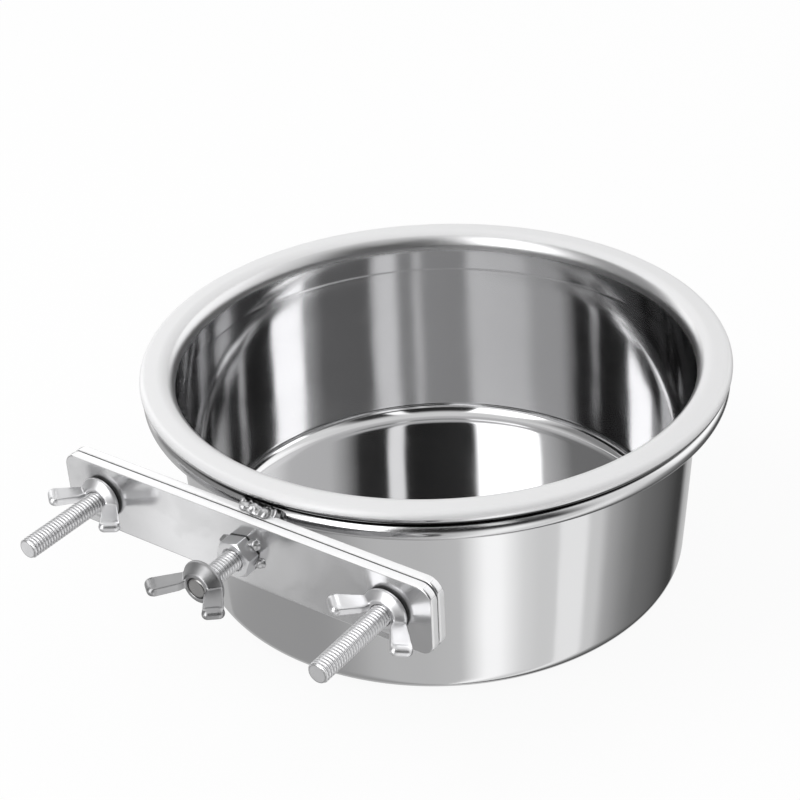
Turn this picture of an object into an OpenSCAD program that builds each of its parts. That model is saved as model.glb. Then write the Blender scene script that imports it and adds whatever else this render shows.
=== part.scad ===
// Clamp-on feeding bowl. A deep drawn bowl hangs by its rolled rim in a wire hoop.
// The hoop is welded to the inner of two clamp plates that close on the bars of a cage.
// X runs along the plates, Z is up, and everything that is screwed on points along -Y.
// The origin is the middle of the inner plate's jaw face.

/* [Bowl] */
// Height from the base to the top of the rim
bowl_h = 70.5; // [60:0.5:110]
// Outer diameter of the wall, measured where it would meet the rim
wall_d = 158; // [130:1:240]
// How far the rim stands out from the wall
rim_w = 9; // [8.5:0.1:14]
// Height of the rolled bead at the edge of the rim
bead_d = 4.2; // [3.2:0.1:5]
// Thickness of the sheet
sheet_t = 0.8; // [0.5:0.1:1.2]
// Slope of the wall away from upright
wall_tilt = 2.3; // [0.5:0.1:5]
// Radius of the bend from the wall to the rim, on its underside
rim_bend_r = 4.2; // [3:0.1:4.8]
// Outside radius of the corner between wall and base
base_r = 6; // [4:0.5:14]
// Depth of the draw line below the top of the rim
draw_line_down = 13; // [11:0.5:20]
// How far the wall steps in below the draw line
draw_line_in = 0.35; // [0.1:0.05:0.8]
// Diameter of the raised middle of the floor
floor_d = 106; // [60:1:110]
// Height of the raised middle of the floor
floor_lift = 0.5; // [0.3:0.1:3]

/* [Hoop] */
// Diameter of the hoop's rod
rod_d = 5.5; // [4:0.1:8]
// How far the middle of the rod lies below the top edge of the inner plate
hoop_drop = 1.7; // [0:0.1:4]
// How far the hoop lies inside the bowl's rolled edge
hoop_in = 1.1; // [0:0.1:2]
// Gap between the hoop and the inner plate, bridged by the weld
hoop_stand_off = 1.4; // [0.8:0.1:2]
// Gap between the hoop and the rim that rests on it
rest_gap = 0.3; // [0.2:0.05:0.5]

/* [Clamp plates] */
// Length of both plates
plate_len = 124; // [115:1:180]
// Height of both plates
plate_h = 21; // [20:1:36]
// Thickness of both plates
plate_t = 2.7; // [2:0.1:5]
// Radius of the plates' corners
plate_corner_r = 4.5; // [2:0.5:8]
// Radius that takes the sharpness off the plates' long edges
arris_r = 0.6; // [0.2:0.1:0.9]
// Gap between the closed plates
jaw_gap = 0.4; // [0.2:0.1:3]

/* [Threads] */
// Outer diameter of the threads
thread_d = 5.9; // [5:0.1:8]
// Distance from one thread to the next
thread_pitch = 1; // [0.8:0.05:1.5]
// Depth of the threads
thread_depth = 0.55; // [0.3:0.05:0.7]
// Clearance between a thread and its nut, on the radius
thread_clear = 0.05; // [0.03:0.01:0.1]
// Clearance between a stud and its plain hole, on the radius
hole_clear = 0.35; // [0.2:0.05:0.6]

/* [Studs] */
// Distance from each end of the plates to the middle of its stud
stud_inset = 13.5; // [12:0.5:20]
// Length of a stud in front of the jaw face
stud_len = 32.5; // [25:0.5:60]
// Diameter of a stud's head
head_d = 12; // [10:0.5:16]
// Height of a stud's head
head_h = 2.6; // [2:0.1:5]

/* [Wing nuts] */
// Diameter of the boss at its widest
boss_d = 13.2; // [12:0.1:16]
// Diameter of the boss at its outer end
boss_end_d = 8.6; // [8:0.1:10]
// Height of the boss
boss_h = 3.2; // [3:0.1:6]
// Distance from the axis to the middle of a wing's tip
wing_reach = 10.4; // [9:0.1:14]
// Height of a wing's tip above the end of the boss
wing_rise = 5.6; // [4:0.1:9]
// Thickness of a wing
wing_t = 2.5; // [2:0.1:3.5]
// Width of a wing's thick tip
tip_w = 6.4; // [5:0.1:7]
// Thickness of a wing's thick tip
tip_t = 3.2; // [2.8:0.1:4]
// Gap between a wing nut and the plate
nut_seat_gap = 0.05; // [0.02:0.01:0.2]
// Turn of the left wing nut away from level
left_nut_turn = -7; // [-90:1:90]
// Turn of the right wing nut away from level
right_nut_turn = -17; // [-90:1:90]

/* [Clamp screw] */
// Distance of the clamp screw from the middle of the plates
screw_x = 1.8; // [-10:0.1:10]
// How far the screw's outer end stands in front of the jaw face
screw_out = 22; // [18:0.5:40]
// Gap between the screw's tip and the inner plate
screw_tip_gap = 0.8; // [0.3:0.1:2]
// Height of the boss on the screw's wing head
screw_boss_h = 4.3; // [3.5:0.1:7]
// Turn of the wing head away from level
screw_turn = 0; // [-90:1:90]
// Distance across the flats of the centre nut
nut_flats = 10; // [10:0.1:13]
// Height of the centre nut
nut_h = 4.5; // [4:0.1:8]
// Turn of the centre nut
nut_turn = 42; // [0:1:60]

/* [Hidden] */
$fn = 96;
arc_steps = 10;            // flats along each bend of the bowl's outline
cut = 0.02;                // small overlap that keeps a cut clean

// Bowl
seam_w = 0.6;              // slit left where the rolled edge ends
draw_line_half = 0.6;      // half the height of the step in the wall
floor_slope_w = 1.5;       // width of the slope round the raised floor
sheet_across = sheet_t / cos(wall_tilt);   // sheet thickness measured level
bead_r = bead_d / 2;
rim_r = wall_d / 2 + rim_w;
bead_centre_r = rim_r - bead_r;
rim_under = bowl_h - sheet_t;
bend_z = rim_under - rim_bend_r;
draw_line_z = bowl_h - draw_line_down;

// Hoop, and the bowl resting in it
hoop_r = bead_centre_r - hoop_in;
hoop_z = plate_h / 2 - hoop_drop;
hoop_y = plate_t + hoop_stand_off + rod_d / 2;   // the hoop's nearest point, middle of the rod
bowl_y = hoop_y + hoop_r;
rest_reach = bead_r + rod_d / 2 + rest_gap;
rim_top_z = hoop_z + sqrt(rest_reach * rest_reach - hoop_in * hoop_in) + bead_r;

// Welds
weld_x = 3.6;              // middle of the hoop's weld, a little right of the plate's middle
lump_radii = [1.7, 1.9, 1.6];
lump_step = 2.9;           // distance from one lump to the next
run_r = 1.7;               // radius of the two runs between hoop and plate
run_len = 12;
run_apart = 2.9;           // distance between the two runs
run_y = plate_t + hoop_stand_off / 2;
fillet_w = 1.6;            // width of the weld round a stud's head
fillet_arc = 80;           // how far each weld runs round a head, in degrees
spot_r = 1.6;              // radius of a weld spot on the centre nut
weld_play = 0.12;          // play of a stud in the hole it is welded into

// Threads, studs and nuts
thread_r = thread_d / 2;
thread_root_r = thread_r - thread_depth;
crest_w = thread_pitch * 0.2;
flank_w = thread_pitch * 0.35;
nut_bore_r = thread_r + thread_clear;
plain_hole_r = thread_r + hole_clear;
stud_x = plate_len / 2 - stud_inset;
head_edge_h = 1;           // height of the straight side of a stud's head
head_dome_h = head_h - head_edge_h;
head_dome_r = (head_d * head_d / 4 + head_dome_h * head_dome_h) / (2 * head_dome_h);
plate_face = jaw_gap + plate_t;
nut_seat = plate_face + nut_seat_gap;
screw_boss_base = screw_out - screw_boss_h;
nut_corner_r = nut_flats / 2 / cos(30);
nut_chamfer_h = (nut_corner_r - nut_flats / 2) * tan(30);

// Bosses and wings
foot_in = 1.2;             // how far a boss is cut back at its foot
foot_h = 0.9;              // height of that cut
waist_h = 1.6;             // height where a boss begins to narrow
tip_tuck = 0.6;            // how far a wing's flat part stays inside its thick tip, each side
root_in = 0.5;             // how far the root of a wing is sunk in the boss

// The wall's outer line: its radius at a height above the base
function wall_r(z) = wall_d / 2 - (rim_under - z) * tan(wall_tilt);

function arc(c, r, from, to) =
    [for (i = [0 : arc_steps]) let (a = from + (to - from) * i / arc_steps) c + r * [cos(a), sin(a)]];

bend_centre = [wall_r(bend_z) + rim_bend_r / cos(wall_tilt), bend_z];
corner_centre = [wall_r(base_r) - draw_line_in - base_r / cos(wall_tilt), base_r];

// The step in the wall: from the narrow side below the draw line to the wide side above it
step_low = [wall_r(draw_line_z - draw_line_half) - draw_line_in, draw_line_z - draw_line_half];
step_high = [wall_r(draw_line_z + draw_line_half), draw_line_z + draw_line_half];

// Clamp frame: local X stays X, local Y is up, local Z points out along -Y
module from_jaw(x = 0, out = 0) {
    translate([x, -out, 0])
        rotate([90, 0, 0])
            children();
}

// The sheet's outline, from the middle of the base out and up to the rim and back inside
function bowl_outline() = concat(
    [[0, floor_lift]],
    [[floor_d / 2, floor_lift]],
    [[floor_d / 2 + floor_slope_w, 0]],
    arc(corner_centre, base_r, -90, -wall_tilt),
    [step_low, step_high],
    arc(bend_centre, rim_bend_r, 180 - wall_tilt, 90),
    [[bead_centre_r, rim_under]],
    [[bead_centre_r, bowl_h]],
    arc(bend_centre, rim_bend_r + sheet_t, 90, 180 - wall_tilt),
    [step_high - [sheet_across, 0], step_low - [sheet_across, 0]],
    arc(corner_centre, base_r - sheet_t, -wall_tilt, -90),
    [[floor_d / 2 + floor_slope_w, sheet_t]],
    [[floor_d / 2, floor_lift + sheet_t]],
    [[0, floor_lift + sheet_t]]);

// The rolled edge: the sheet curls out, down and back under, and stops just short of closing
module rolled_edge() {
    translate([bead_centre_r, bowl_h - bead_r])
        difference() {
            circle(r = bead_r);
            circle(r = bead_r - sheet_t);
            translate([-bead_d, bead_r - sheet_t - seam_w])
                square([bead_d, seam_w]);
        }
}

module bowl() {
    color("gainsboro")
        translate([0, bowl_y, rim_top_z - bowl_h])
            rotate_extrude() {
                polygon(bowl_outline());
                rolled_edge();
            }
}

module hoop() {
    color("silver")
        translate([0, bowl_y, hoop_z])
            rotate_extrude()
                translate([hoop_r, 0])
                    circle(d = rod_d);
}

// Weld metal where the hoop meets the inner plate: lumps on the plate's top edge,
// and two runs that fill the gap between hoop and plate
module hoop_welds() {
    color("lightgray")
        difference() {
            union() {
                for (i = [0 : 2])
                    translate([weld_x + (i - 1) * lump_step, plate_t / 2, (plate_h + lump_radii[i]) / 2])
                        sphere(r = lump_radii[i]);
                for (side = [-1, 1])
                    translate([weld_x - run_len / 2, run_y, hoop_z + side * run_apart / 2])
                        rotate([0, 90, 0])
                            cylinder(r = run_r, h = run_len);
            }
            plate_solid(0);
            hoop();
        }
}

// A rounded rectangle, lying in the local X and Y
module round_rect(w, h, r) {
    for (x = [-1, 1], y = [-1, 1])
        translate([x * (w / 2 - r), y * (h / 2 - r)])
            circle(r = r);
    square([w, h - 2 * r], center = true);
    square([w - 2 * r, h], center = true);
}

// A plate with round corners and softened edges, its back face on the local Z = 0
module plate_blank() {
    intersection() {
        linear_extrude(plate_t)
            round_rect(plate_len, plate_h, plate_corner_r);
        translate([-plate_len / 2, 0, plate_t / 2])
            rotate([90, 0, 90])
                linear_extrude(plate_len)
                    round_rect(plate_h, plate_t, arris_r);
        translate([0, plate_h / 2, plate_t / 2])
            rotate([90, 0, 0])
                linear_extrude(plate_h)
                    round_rect(plate_len, plate_t, arris_r);
    }
}

// A blank put in place, its outer face this far out from the jaw face
module plate_solid(face) {
    from_jaw(0, face - plate_t)
        plate_blank();
}

// A hole bored through a plate whose outer face is this far out
module plate_hole(x, face, r) {
    from_jaw(x, face - plate_t - cut)
        cylinder(r = r, h = plate_t + 2 * cut);
}

module inner_plate() {
    color("gainsboro")
        difference() {
            plate_solid(0);
            for (x = [-stud_x, stud_x])
                plate_hole(x, 0, thread_r + weld_play);
        }
}

module outer_plate() {
    color("gainsboro")
        difference() {
            plate_solid(plate_face);
            for (x = [-stud_x, screw_x, stud_x])
                plate_hole(x, plate_face, plain_hole_r);
        }
}

// One ridge of a thread: up a flank, along the crest and down the other flank
function ridge(z) = [
    [thread_root_r, z],
    [thread_r, z + flank_w],
    [thread_r, z + flank_w + crest_w],
    [thread_root_r, z + 2 * flank_w + crest_w]];

// A rod with a row of ridges from its plain part to its narrow outer end
module threaded_rod(len, plain = 0) {
    ridges = floor((len - plain) / thread_pitch);
    shank = plain > 0 ? [[thread_r, 0], [thread_r, plain]] : [];
    rotate_extrude()
        polygon(concat(
            [[0, 0]],
            shank,
            [for (i = [0 : ridges - 1]) each ridge(plain + i * thread_pitch)],
            [[thread_root_r, len], [0, len]]));
}

// A stud is a round-headed screw whose head sits on the bowl side of the inner plate
module stud(x) {
    color("silver")
        from_jaw(x, -plate_t) {
            threaded_rod(stud_len + plate_t, plate_t + jaw_gap / 2);
            mirror([0, 0, 1])
                intersection() {
                    cylinder(d = head_d, h = head_h);
                    translate([0, 0, head_h - head_dome_r])
                        sphere(r = head_dome_r);
                }
        }
}

module left_stud() stud(-stud_x);
module right_stud() stud(stud_x);

// Two short fillets of weld hold each stud's head to the plate
module stud_welds() {
    color("lightgray")
        for (x = [-stud_x, stud_x], side = [0, 180])
            translate([x, plate_t, 0])
                rotate([-90, side - fillet_arc / 2, 0])
                    rotate_extrude(angle = fillet_arc)
                        polygon([[head_d / 2, 0], [head_d / 2 + fillet_w, 0], [head_d / 2, head_edge_h]]);
}

// The hexagon nut, its outer corners cut back by a cone
module centre_nut() {
    color("silver")
        from_jaw(screw_x, plate_face)
            difference() {
                intersection() {
                    rotate(nut_turn)
                        cylinder(r = nut_corner_r, h = nut_h, $fn = 6);
                    rotate_extrude()
                        polygon([
                            [0, 0],
                            [nut_corner_r, 0],
                            [nut_corner_r, nut_h - nut_chamfer_h],
                            [nut_flats / 2, nut_h],
                            [0, nut_h]]);
                }
                translate([0, 0, -cut])
                    cylinder(r = nut_bore_r, h = nut_h + 2 * cut);
            }
}

// Spots of weld at four of the nut's corners: low domes that the nut's flats cut through
module nut_welds() {
    color("lightgray")
        from_jaw(screw_x, plate_face)
            rotate(nut_turn)
                difference() {
                    for (corner = [0, 2, 3, 5])
                        rotate(60 * corner)
                            translate([nut_corner_r, 0, 0])
                                rotate_extrude()
                                    intersection() {
                                        circle(r = spot_r);
                                        square(spot_r);
                                    }
                    translate([0, 0, -cut])
                        cylinder(r = nut_corner_r, h = nut_h, $fn = 6);
                }
}

// A rod with round ends, standing across the origin
module capsule(d, w) {
    cylinder(d = d, h = w - d, center = true);
    for (end = [-1, 1])
        translate([0, 0, end * (w - d) / 2])
            sphere(d = d);
}

// One wing on a boss of height h, drawn in the plane of the axis: local X is out, local Y is
// along the axis. It leans out above level by the angle lean and ends at the middle of its tip
module wing_outline(h, lean) {
    tip = [wing_reach, h + wing_rise];
    across = [sin(lean), -cos(lean)] * (tip_w / 2 - tip_tuck);
    polygon([
        [boss_end_d / 2 - root_in, foot_h],
        [boss_d / 2 - root_in, foot_h],
        [boss_d / 2, waist_h],
        tip + across,
        tip - across,
        [boss_end_d / 2 + root_in, h + waist_h],
        [boss_end_d / 2 - root_in, h - cut]]);
}

// A flat wing with a thick round tip
module wing(h) {
    lean = atan2(wing_rise + h / 2, wing_reach - boss_end_d / 2);
    translate([0, wing_t / 2, 0])
        rotate([90, 0, 0])
            linear_extrude(wing_t)
                wing_outline(h, lean);
    translate([wing_reach, 0, h + wing_rise])
        rotate([0, 180 - lean, 0])
            capsule(tip_t, tip_w);
}

// A boss with two wings. Its bore runs right through
module winged_boss(h) {
    difference() {
        union() {
            rotate_extrude()
                polygon([
                    [0, 0],
                    [boss_d / 2 - foot_in, 0],
                    [boss_d / 2, foot_h],
                    [boss_d / 2, waist_h],
                    [boss_end_d / 2, h],
                    [0, h]]);
            for (side = [0, 180])
                rotate(side)
                    wing(h);
        }
        translate([0, 0, -cut])
            cylinder(r = nut_bore_r, h = h + 2 * cut);
    }
}

module left_wing_nut() {
    color("silver")
        from_jaw(-stud_x, nut_seat)
            rotate(left_nut_turn)
                winged_boss(boss_h);
}

module right_wing_nut() {
    color("silver")
        from_jaw(stud_x, nut_seat)
            rotate(right_nut_turn)
                winged_boss(boss_h);
}

module screw_rod() {
    color("silver")
        from_jaw(screw_x, screw_tip_gap)
            threaded_rod(screw_out - screw_tip_gap);
}

module screw_wing() {
    color("silver")
        from_jaw(screw_x, screw_boss_base)
            rotate(screw_turn)
                winged_boss(screw_boss_h);
}

bowl();
hoop();
hoop_welds();
inner_plate();
left_stud();
right_stud();
stud_welds();
outer_plate();
centre_nut();
nut_welds();
left_wing_nut();
right_wing_nut();
screw_rod();
screw_wing();
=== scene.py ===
# %% [markdown]
# # A clamp-on feeding bowl in polished steel
# The bowl hangs by its rolled rim in a wire hoop, and two plates clamp the hoop to the bars of a cage. The
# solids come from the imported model, and this lesson gives them their real surfaces. Sizes are written in
# millimetres, as on a drawing, and turned into metres by one number.

# %% Load the solids
import math

import bmesh
import bpy
from mathutils import Matrix, Vector, noise


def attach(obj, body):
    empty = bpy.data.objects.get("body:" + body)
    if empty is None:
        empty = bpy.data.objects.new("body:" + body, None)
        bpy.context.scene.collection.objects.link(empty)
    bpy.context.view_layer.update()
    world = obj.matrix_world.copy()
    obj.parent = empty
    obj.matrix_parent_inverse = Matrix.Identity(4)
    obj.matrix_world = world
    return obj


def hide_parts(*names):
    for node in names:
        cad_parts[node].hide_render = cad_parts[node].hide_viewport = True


MM = 0.001
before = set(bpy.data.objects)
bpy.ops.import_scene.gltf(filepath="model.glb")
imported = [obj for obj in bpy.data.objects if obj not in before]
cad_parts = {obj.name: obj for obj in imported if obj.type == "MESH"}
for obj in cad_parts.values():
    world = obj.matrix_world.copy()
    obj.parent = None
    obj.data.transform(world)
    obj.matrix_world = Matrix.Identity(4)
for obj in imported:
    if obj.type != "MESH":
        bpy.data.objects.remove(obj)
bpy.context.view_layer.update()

# %% [markdown]
# ## Camera
# The photograph was taken from the front right, a little above the bowl. The eye is placed by a turn, a
# rise and a distance from one point, and then rolled slightly. A camera in Blender looks along its own -Z,
# so its three axes are the columns of its matrix.

# %% Place the camera
camera_turn = math.radians(36.14)
camera_rise = math.radians(30.77)
camera_roll = math.radians(-2.98)
camera_distance = 506.2 * MM
look_at = Vector((-8.84, 85.13, -2.25)) * MM

towards_eye = Vector((
    math.sin(camera_turn) * math.cos(camera_rise),
    -math.cos(camera_turn) * math.cos(camera_rise),
    math.sin(camera_rise)))
level_right = Vector((math.cos(camera_turn), math.sin(camera_turn), 0))
straight_up = towards_eye.cross(level_right)
eye_right = level_right * math.cos(camera_roll) + straight_up * math.sin(camera_roll)
eye_up = straight_up * math.cos(camera_roll) - level_right * math.sin(camera_roll)

lens = bpy.data.cameras.new("lens")
lens.sensor_width = 36
lens.lens = 74.77
camera = bpy.data.objects.new("camera", lens)
eye_axes = Matrix((eye_right, eye_up, towards_eye)).transposed().to_4x4()
camera.matrix_world = Matrix.Translation(look_at + towards_eye * camera_distance) @ eye_axes
scene = bpy.context.scene
scene.collection.objects.link(camera)
scene.camera = camera
scene.view_settings.view_transform = "Standard"
print("camera at", [round(c, 3) for c in camera.matrix_world.translation])

# %% [markdown]
# ## Making nodes in few words
# Every material below is a small tree of nodes. One helper adds a node, fills its sockets and joins its
# links, so that each line reads as one step. The others do what these trees need most: sums, soft steps,
# overlaps of masks and mixes of colours.

# %% Helpers for node trees
def add(tree, kind, inputs=None, **settings):
    """A new node. Each input is a plain value, or a socket that is then linked to it."""
    made = tree.nodes.new("ShaderNode" + kind)
    for name, value in settings.items():
        setattr(made, name, value)
    for socket, value in (inputs or {}).items():
        if isinstance(value, bpy.types.NodeSocket):
            tree.links.new(value, made.inputs[socket])
        else:
            made.inputs[socket].default_value = value
    return made


def sums(tree, operation, first, second=0.0, third=0.0):
    """The result of one Math node."""
    return add(tree, "Math", {0: first, 1: second, 2: third}, operation=operation).outputs[0]


def fade(tree, value, start, end, low=0.0, high=1.0):
    """Goes smoothly from low to high while value goes from start to end."""
    inputs = {"Value": value, "From Min": start, "From Max": end, "To Min": low, "To Max": high}
    return add(tree, "MapRange", inputs, interpolation_type="SMOOTHSTEP").outputs["Result"]


def fade_mm(tree, length, start, end, low=0.0, high=1.0):
    """The same for a length, with start and end in millimetres."""
    return fade(tree, length, start * MM, end * MM, low, high)


def overlap(tree, first, second):
    """A mask that is 1 only where both masks are 1."""
    return sums(tree, "MULTIPLY", first, second)


def blend(tree, share, first, second):
    """Mixes two colours. A share of 0 gives the first."""
    inputs = {"Factor": share, 6: first, 7: second}
    return add(tree, "Mix", inputs, data_type="RGBA").outputs[2]


print("node helpers are ready")

# %% [markdown]
# ## The studio that the steel mirrors
# Polished steel has hardly any colour of its own: it shows the room. Two rings of white, grey and black
# panels stand round the bowl. The inside of the bowl mirrors the one above the horizon, and the outside
# wall mirrors the one below. Each ring is one colour ramp over the compass angle, where 0 points along +X
# and 90 along +Y. Its panels are pairs of an angle and a light, with an even change between them.

# %% Rings of panels
BRIGHTEST = 4.0
UPPER_STRENGTH = 2.4
LOWER_STRENGTH = 1.35

upper_panels = [
    (-180, 0.46), (-177, 0.13), (-130, 0.14), (-122, 0.28), (-111.5, 0.42), (-110.5, 1.5), (-76.5, 1.5),
    (-75.5, 0.02), (-40, 0.01), (-13, 0.02), (-4, 0.25), (4, 0.41), (30, 0.42), (42, 0.62), (88, 0.68),
    (96, 0.30), (132, 0.32), (137, 0.60), (140, 0.60), (144, 0.28), (153, 0.28), (160, 0.80), (174, 0.78),
    (180, 0.46)]
lower_panels = [
    (-180, 0.45), (-148, 0.50), (-140, 0.72), (-134, 0.86), (-130, 0.48), (-125, 0.30), (-118, 0.36),
    (-92, 0.50), (-66, 0.50), (-48, 0.54), (-41, 0.85), (-36, 1.06), (-29, 1.06), (-25, 0.93), (-18, 0.73),
    (-10, 0.65), (-1, 0.65), (0, 0.86), (13, 0.86), (15, 0.63), (21, 0.62), (26, 0.40), (37, 0.25),
    (46, 0.17), (64, 0.11), (79, 0.05), (86, 0.04), (94, 0.40), (115, 0.50), (150, 0.40), (180, 0.45)]


def grey(light):
    """A colour without a hue."""
    return (light, light, light, 1)


def on_compass(angle):
    """Where an angle lies on the compass, which goes from 0 at -180 degrees to 1 at 180."""
    return (angle + 180) / 360


def ring_of_panels(tree, compass, panels, strength):
    """The light of one ring at a compass angle, as a share of the brightest light."""
    ramp = add(tree, "ValToRGB", {"Fac": compass})
    stops = ramp.color_ramp.elements
    stops.remove(stops[1])
    stops[0].position = 0
    stops[0].color = grey(panels[0][1] * strength / BRIGHTEST)
    for angle, light in panels[1:]:
        stops.new(on_compass(angle)).color = grey(light * strength / BRIGHTEST)
    return ramp.outputs["Color"]


print("studio: panels above", len(upper_panels), "and below", len(lower_panels))

# %% [markdown]
# ### The room in every direction
# The world is asked for a colour in every direction. The arc tangent of its Y and X gives the compass
# angle, and its Z gives the height, which is -1 straight down, 0 level and 1 straight up. The rings melt
# into each other near the horizon. One narrow window stands between two dark walls, well above the horizon,
# the ground at the front left is grey, and a plain ceiling closes the room.

# %% The room in every direction
world = bpy.data.worlds.new("studio")
world.use_nodes = True
scene.world = world
studio = world.node_tree
studio.nodes.clear()
direction = add(studio, "TexCoord").outputs["Generated"]
axes = add(studio, "SeparateXYZ", {"Vector": direction}).outputs
bearing = sums(studio, "ARCTAN2", axes["Y"], axes["X"])
compass = sums(studio, "MULTIPLY_ADD", bearing, 0.5 / math.pi, 0.5)
height = axes["Z"]

window_light = 0.7 * UPPER_STRENGTH
window_left = fade(studio, compass, on_compass(-38.5), on_compass(-36.4))
window_right = fade(studio, compass, on_compass(-30.2), on_compass(-27.4), 1.0, 0.0)
window_foot = fade(studio, height, 0.47, 0.54)
window = overlap(studio, overlap(studio, window_left, window_right), window_foot)
upper = ring_of_panels(studio, compass, upper_panels, UPPER_STRENGTH)
upper = blend(studio, window, upper, grey(window_light / BRIGHTEST))

ground_light = 0.43
front_left = fade(studio, compass, on_compass(-122.4), on_compass(-79.2), 1.0, 0.0)
near_ground = fade(studio, height, -0.65, -0.60, 1.0, 0.0)
lower = ring_of_panels(studio, compass, lower_panels, LOWER_STRENGTH)
lower = blend(studio, overlap(studio, front_left, near_ground), lower, grey(ground_light / BRIGHTEST))

ceiling_light = 0.9
above_horizon = fade(studio, height, -0.35, 0.15)
near_ceiling = fade(studio, height, 0.72, 0.95)
rings = blend(studio, above_horizon, lower, upper)
room = blend(studio, near_ceiling, rings, grey(ceiling_light / BRIGHTEST))
print("studio: window", window_light, "ground", ground_light, "ceiling", ceiling_light)

# %% [markdown]
# ### What each kind of ray sees
# Steel takes a third of the light at every mirroring. The upper ring is seen after three of them, so it is
# brighter, and what has been mirrored four times or more is nearly dark. Only glossy rays see the panels.
# The camera sees plain white, and rough surfaces get an even soft light.

# %% Light for each kind of ray
soft_level = 0.7
dim_left = 0.55 * BRIGHTEST
dim_right = 0.17 * BRIGHTEST

ray = add(studio, "LightPath").outputs
dimmed = fade(studio, compass, on_compass(-45), on_compass(-18), dim_left, dim_right)
# The world counts as one step more, so a depth of 4 is three mirrorings and a depth of 5 is four
brightness = fade(studio, ray["Ray Depth"], 4.4, 5.0, BRIGHTEST, dimmed)
mirrored = add(studio, "Background", {"Color": room, "Strength": brightness}).outputs[0]
soft_light = add(studio, "Background", {"Color": grey(soft_level)}).outputs[0]
white = add(studio, "Background", {"Color": grey(1)}).outputs[0]
for_matter = add(studio, "MixShader", {0: ray["Is Glossy Ray"], 1: soft_light, 2: mirrored}).outputs[0]
for_all = add(studio, "MixShader", {0: ray["Is Camera Ray"], 1: for_matter, 2: white}).outputs[0]
add(studio, "OutputWorld", {"Surface": for_all})
scene.cycles.glossy_bounces = 10
scene.cycles.max_bounces = 12
scene.cycles.caustics_reflective = False
print("studio:", len(studio.nodes), "nodes")

# %% [markdown]
# ## Floor
# A plain pale floor lies a hair under the base of the bowl and takes its shadow. Most of its white is its
# own, so that it joins the white behind it, and the rest is lit by the lamp.

# %% Floor
bowl_height = 70.5
rim_z = 15.931
base_z = rim_z - bowl_height
floor_gap = 0.05
floor_half = 4.0
floor_grey = 0.85
glow_share = 0.94

floor_mesh = bpy.data.meshes.new("floor")
corners = [(x * floor_half, y * floor_half, 0) for x, y in [(-1, -1), (1, -1), (1, 1), (-1, 1)]]
floor_mesh.from_pydata(corners, [], [(0, 1, 2, 3)])
floor = bpy.data.objects.new("floor", floor_mesh)
floor.location.z = (base_z - floor_gap) * MM
floor.visible_glossy = False
scene.collection.objects.link(floor)

floor_paint = bpy.data.materials.new("floor_paint")
floor_paint.use_nodes = True
paint = floor_paint.node_tree
paint.nodes.clear()
lit = add(paint, "BsdfDiffuse", {"Color": grey(floor_grey)}).outputs[0]
glow = add(paint, "Emission", {"Color": grey(1), "Strength": 1.0}).outputs[0]
seen = add(paint, "LightPath").outputs["Is Camera Ray"]
glowing = sums(paint, "MULTIPLY", seen, glow_share)
floor_mix = add(paint, "MixShader", {0: glowing, 1: lit, 2: glow}).outputs[0]
add(paint, "OutputMaterial", {"Surface": floor_mix})
floor_mesh.materials.append(floor_paint)
print("floor at", round(base_z - floor_gap, 3), "mm")

# %% [markdown]
# ## Lamp
# One large lamp hangs high on the left and gives the soft shadow. It stays out of the mirror images,
# because the panels are there for that.

# %% Lamp
lamp_data = bpy.data.lights.new("soft_lamp", "AREA")
lamp_data.shape = "DISK"
lamp_data.size = 0.9
lamp_data.energy = 9
lamp = bpy.data.objects.new("soft_lamp", lamp_data)
lamp_place = Vector((-0.55, -0.45, 1.1))
lamp_aim = (lamp_place - look_at).to_track_quat("Z", "Y").to_matrix().to_4x4()
lamp.matrix_world = Matrix.Translation(lamp_place) @ lamp_aim
lamp.visible_glossy = False
scene.collection.objects.link(lamp)
print("lamp at", [round(c, 2) for c in lamp_place])

# %% [markdown]
# ## Marks that every metal here shares
# Steel is never quite even. Polishing leaves fine lines and handling leaves faint smears, and corners get
# painted shade. Each of these effects is a node group with named inputs, so each metal uses it with its own
# values. The groups give heights and masks only.

# %% Helpers for groups
def new_group(name, inputs, outputs):
    """An empty group of single numbers, the sockets that it gets and the ones that it fills."""
    group = bpy.data.node_groups.new(name, "ShaderNodeTree")
    for label, value in inputs.items():
        socket = group.interface.new_socket(label, in_out="INPUT", socket_type="NodeSocketFloat")
        socket.default_value = value
    for label in outputs:
        group.interface.new_socket(label, in_out="OUTPUT", socket_type="NodeSocketFloat")
    return group, group.nodes.new("NodeGroupInput").outputs, group.nodes.new("NodeGroupOutput").inputs


def use(tree, group, inputs=None):
    """Places a group in a tree and returns its outputs."""
    return add(tree, "Group", inputs, node_tree=group).outputs


print("group helpers are ready")

# %% [markdown]
# ### Polishing lines
# On a turned piece the lines run round the axis, so they change with the radius and the height and hardly
# with the angle. On a flat bar they run along it. The group stretches a noise along one given number and
# reads it fine across two others. A second noise gives wider patches.

# %% Polishing lines
polish, polish_in, polish_out = new_group(
    "polishing lines", {"Along": 0.0, "Across": 0.0, "Depth": 0.0, "Fineness": 3000.0}, ["Lines", "Patches"])
patch_stretch = (0.5, 0.06, 0.06)
across = sums(polish, "MULTIPLY", polish_in["Across"], polish_in["Fineness"])
depth = sums(polish, "MULTIPLY", polish_in["Depth"], polish_in["Fineness"])
stretched = add(polish, "CombineXYZ", {"X": polish_in["Along"], "Y": across, "Z": depth}).outputs[0]
lines = add(polish, "TexNoise", {"Vector": stretched, "Scale": 1.0, "Detail": 3.0, "Roughness": 0.65})
widened = add(polish, "VectorMath", {0: stretched, 1: patch_stretch}, operation="MULTIPLY").outputs[0]
patches = add(polish, "TexNoise", {"Vector": widened, "Scale": 1.0, "Detail": 2.0})
polish.links.new(lines.outputs["Fac"], polish_out["Lines"])
polish.links.new(patches.outputs["Fac"], polish_out["Patches"])
print("group:", polish.name)
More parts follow.
